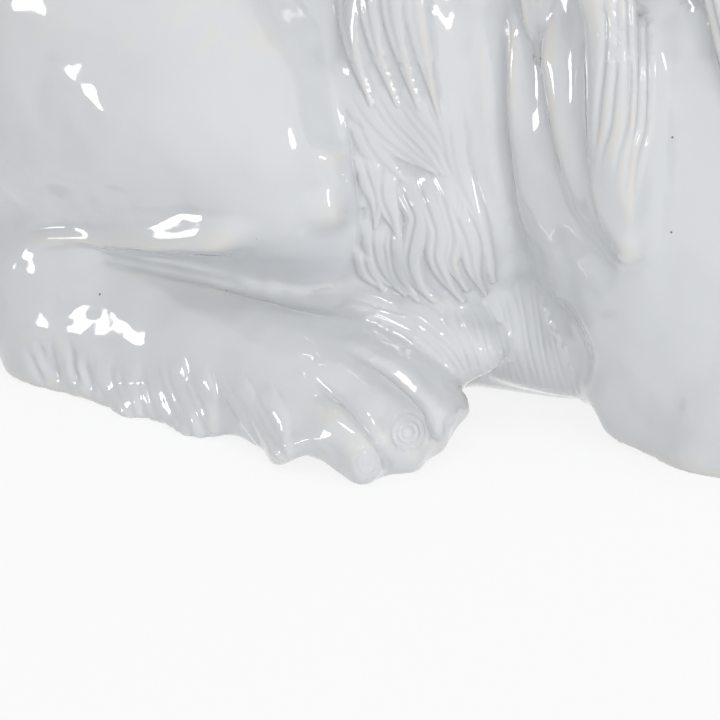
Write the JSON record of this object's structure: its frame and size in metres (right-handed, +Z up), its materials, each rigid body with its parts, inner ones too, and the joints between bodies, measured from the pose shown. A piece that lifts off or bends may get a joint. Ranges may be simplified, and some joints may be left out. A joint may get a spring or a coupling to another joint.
{
  "type": "lion figurine",
  "caption": "Glazed porcelain lion lying with its head raised, forelegs stretched forward and tail round one haunch; a free-standing ornament.",
  "frame": {"origin": "middle of the lion's box, on the surface that it lies on", "axes": "+X the way the lion faces, -Y its right side, +Z up"},
  "size_m": [0.4154, 0.2354, 0.3136],
  "materials": {
    "glazed_porcelain": "high gloss white glaze with a faint blue grey in the hollows",
    "bare_clay": "unglazed fired porcelain, matte"
  },
  "bodies": {
    "root": {"trunk_shell": "glazed_porcelain", "underside_plate": "bare_clay", "right_thigh": "glazed_porcelain", "left_thigh": "glazed_porcelain", "right_hind_foot": "glazed_porcelain", "left_hind_foot": "glazed_porcelain", "right_shoulder": "glazed_porcelain", "left_shoulder": "glazed_porcelain", "right_forearm": "glazed_porcelain", "left_forearm": "glazed_porcelain", "head_shell": "glazed_porcelain", "lower_jaw": "glazed_porcelain", "right_ear": "glazed_porcelain", "left_ear": "glazed_porcelain", "mane_ruff": "glazed_porcelain", "chest_mane": "glazed_porcelain", "right_mane_locks": "glazed_porcelain", "left_mane_locks": "glazed_porcelain", "right_flank_tuft": "glazed_porcelain", "left_flank_tuft": "glazed_porcelain", "right_belly_fringe": "glazed_porcelain", "left_belly_fringe": "glazed_porcelain", "tail": "glazed_porcelain", "tail_tuft": "glazed_porcelain"}
  },
  "joints": []
}
